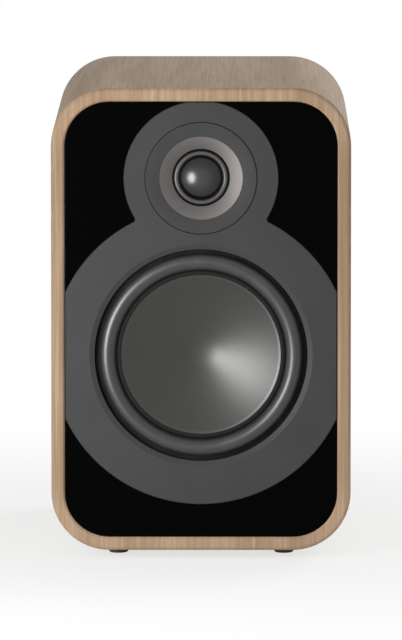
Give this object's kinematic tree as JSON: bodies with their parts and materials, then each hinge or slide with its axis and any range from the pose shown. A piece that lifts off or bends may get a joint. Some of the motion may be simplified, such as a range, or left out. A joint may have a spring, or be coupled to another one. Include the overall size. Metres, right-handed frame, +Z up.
{
  "type": "bookshelf speaker",
  "caption": "Two-way bookshelf loudspeaker in a round-cornered oak cabinet, with a gloss black front, charcoal driver trim, rear port and binding posts.",
  "frame": {"origin": "under the middle of the whole product (cabinet and binding posts), at the level its feet stand on", "axes": "+Z up, -Y the way the drive units face, +X to the right seen from the front"},
  "size_m": [0.18, 0.2732, 0.284],
  "materials": {
    "oak_laminate": "satin oak-pattern laminate on fibreboard",
    "fibreboard": "raw medium-density fibreboard",
    "black_back": "black-faced fibreboard",
    "gloss_black": "high gloss",
    "trim_satin": "satin charcoal",
    "foot_rubber": "matt",
    "surround_rubber": "satin",
    "gasket_foam": "matt",
    "cone_pulp": "coated pulp, satin",
    "former_film": "amber film",
    "copper_wire": "enamelled winding wire",
    "spider_cloth": "resin-treated weave",
    "cast_frame": "powder-coated casting",
    "plated_steel": "zinc plated",
    "black_steel": "black oxide",
    "ferrite": "ground ferrite",
    "dome_cloth": "coated fabric, satin",
    "face_plastic": "satin",
    "waveguide_metal": "satin bronze-grey anodised",
    "black_plastic": "fine grain",
    "gilt_brass": "gold plated",
    "insert_brass": "bright",
    "red_plastic": "satin",
    "neodymium": "nickel plated",
    "circuit_board": "solder mask",
    "nylon": "natural",
    "film_can": "tape wrapped",
    "cement": "matt cement",
    "polyester_wadding": "fluffy",
    "tag_board": "phenolic board with plated blades"
  },
  "bodies": {
    "cabinet": {"bass_inductor": "copper_wire", "binding_post_black": "gilt_brass", "binding_post_red": "gilt_brass", "cabinet_shell": "oak_laminate", "crossover_board": "circuit_board", "crossover_standoffs": "nylon", "driver_trim": "trim_satin", "front_baffle": "fibreboard", "front_panel": "gloss_black", "grille_magnets": "neodymium", "large_capacitor": "film_can", "port_tube": "black_plastic", "post_bush_black": "black_plastic", "post_bush_red": "black_plastic", "post_nuts": "gilt_brass", "post_solder_tags": "gilt_brass", "power_resistor": "cement", "rear_panel": "black_back", "rubber_foot_front_left": "foot_rubber", "rubber_foot_front_right": "foot_rubber", "rubber_foot_rear_left": "foot_rubber", "rubber_foot_rear_right": "foot_rubber", "small_capacitor": "film_can", "stand_inserts": "insert_brass", "terminal_plate": "black_plastic", "terminal_screws": "black_steel", "treble_inductor": "copper_wire", "tweeter_chamber": "black_plastic", "tweeter_faceplate": "face_plastic", "tweeter_gasket": "gasket_foam", "tweeter_magnet": "ferrite", "tweeter_screws": "black_steel", "tweeter_surround": "dome_cloth", "tweeter_top_plate": "plated_steel", "tweeter_waveguide": "waveguide_metal", "tweeter_yoke": "plated_steel", "wadding": "polyester_wadding", "window_brace": "fibreboard", "woofer_basket": "cast_frame", "woofer_gasket": "gasket_foam", "woofer_magnet": "ferrite", "woofer_screws": "black_steel", "woofer_spider": "spider_cloth", "woofer_surround": "surround_rubber", "woofer_terminals": "tag_board", "woofer_top_plate": "plated_steel", "woofer_yoke": "plated_steel"},
    "woofer_moving": {"woofer_cone": "cone_pulp", "woofer_coil_former": "former_film", "woofer_voice_coil": "copper_wire"},
    "tweeter_moving": {"tweeter_dome": "dome_cloth", "tweeter_voice_coil": "copper_wire"},
    "red_washer": {"clamp_washer_red": "gilt_brass"},
    "red_knob": {"terminal_knob_red": "black_plastic", "marking_ring_red": "red_plastic"},
    "black_washer": {"clamp_washer_black": "gilt_brass"},
    "black_knob": {"terminal_knob_black": "black_plastic", "marking_ring_black": "black_plastic"}
  },
  "joints": [
    {"name": "woofer_stroke", "type": "slide", "parent": "cabinet", "child": "woofer_moving", "axis": [0, -1, 0], "range_m": [-0.004, 0.004], "stiffness_N_per_m": 900, "deforming": ["woofer_surround", "woofer_spider"]},
    {"name": "tweeter_stroke", "type": "slide", "parent": "cabinet", "child": "tweeter_moving", "axis": [0, -1, 0], "range_m": [-0.0004, 0.0004], "stiffness_N_per_m": 600, "deforming": ["tweeter_surround"]},
    {"name": "red_clamp_slide", "type": "slide", "parent": "cabinet", "child": "red_washer", "axis": [0, 1, 0], "range_m": [0, 0.005]},
    {"name": "red_knob_turn", "type": "hinge", "parent": "red_washer", "child": "red_knob", "pos_m": [-0.00953, 0.1186, 0.071], "axis": [0, 1, 0], "range_deg": [0, 1800]},
    {"name": "black_clamp_slide", "type": "slide", "parent": "cabinet", "child": "black_washer", "axis": [0, 1, 0], "range_m": [0, 0.005]},
    {"name": "black_knob_turn", "type": "hinge", "parent": "black_washer", "child": "black_knob", "pos_m": [0.00953, 0.1186, 0.071], "axis": [0, 1, 0], "range_deg": [0, 1800]}
  ],
  "couplings": [
    {"joint": "red_clamp_slide", "follows": "red_knob_turn", "m_per_rad": 0.00015915},
    {"joint": "black_clamp_slide", "follows": "black_knob_turn", "m_per_rad": 0.00015915}
  ]
}
